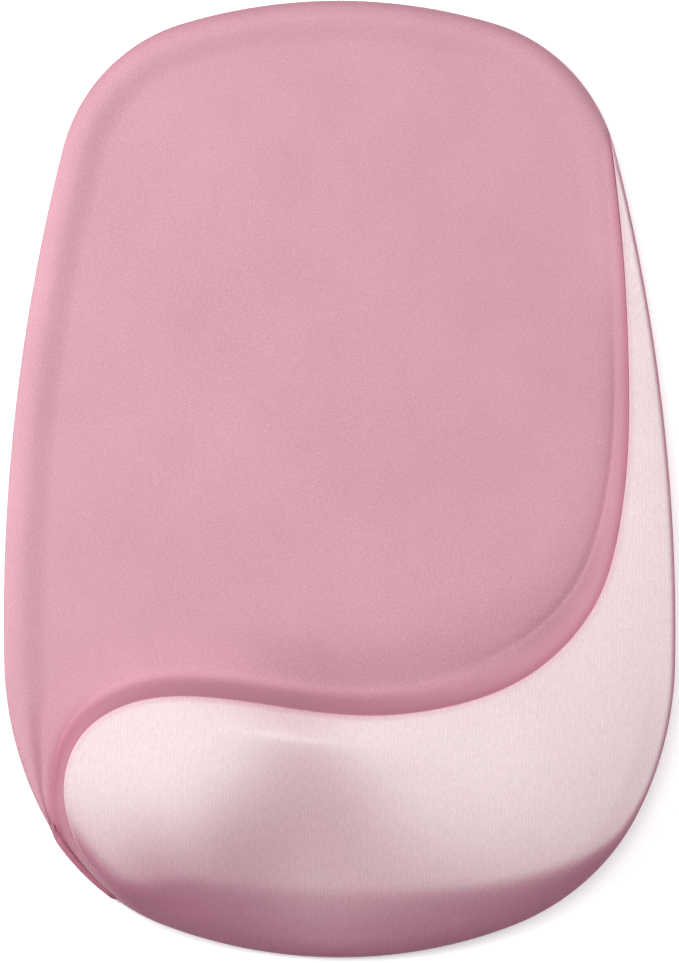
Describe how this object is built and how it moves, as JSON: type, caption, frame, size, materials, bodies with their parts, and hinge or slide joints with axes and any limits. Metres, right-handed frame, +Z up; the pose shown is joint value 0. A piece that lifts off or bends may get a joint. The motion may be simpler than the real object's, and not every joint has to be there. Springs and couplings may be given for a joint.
{
  "type": "mouse pad with wrist rest",
  "caption": "Ergonomic mouse pad: a shallow cloth-covered tray beside a raised foam wrist cushion that sweeps up its right side, on a non-slip base.",
  "frame": {"origin": "middle of the underside, on the surface the pad rests on", "axes": "+X to the user's right, +Y away from the user along the pad's length, +Z up"},
  "size_m": [0.1854, 0.265, 0.0237],
  "materials": {
    "rose_knit": "fine dusty-rose knit with a slightly sandy grain, matt",
    "pale_knit": "pale pink knit with short fine ribs, matt with a soft sheen",
    "tray_foam": "thin firm open-cell foam, stands in for polyurethane foam",
    "slow_foam": "moulded slow-recovery foam, stands in for polyurethane memory foam",
    "fusible_tape": "thin white knitted tape with a heat-activated back",
    "adhesive_film": "clear hot-melt adhesive, slightly yellow",
    "board_plastic": "off-white plastic board, matt",
    "base_rubber": "dusty-rose textured non-slip sheet, matt"
  },
  "bodies": {
    "root": {"mouse_area_cover": "rose_knit", "wrist_rest_cover": "pale_knit", "tray_foam": "tray_foam", "wrist_foam_core": "slow_foam", "cover_joint_tape": "fusible_tape", "hem_adhesive_ring": "adhesive_film", "board_adhesive_film": "adhesive_film", "stiffener_board": "board_plastic", "base_adhesive_film": "adhesive_film", "base_sheet": "base_rubber"}
  },
  "joints": []
}
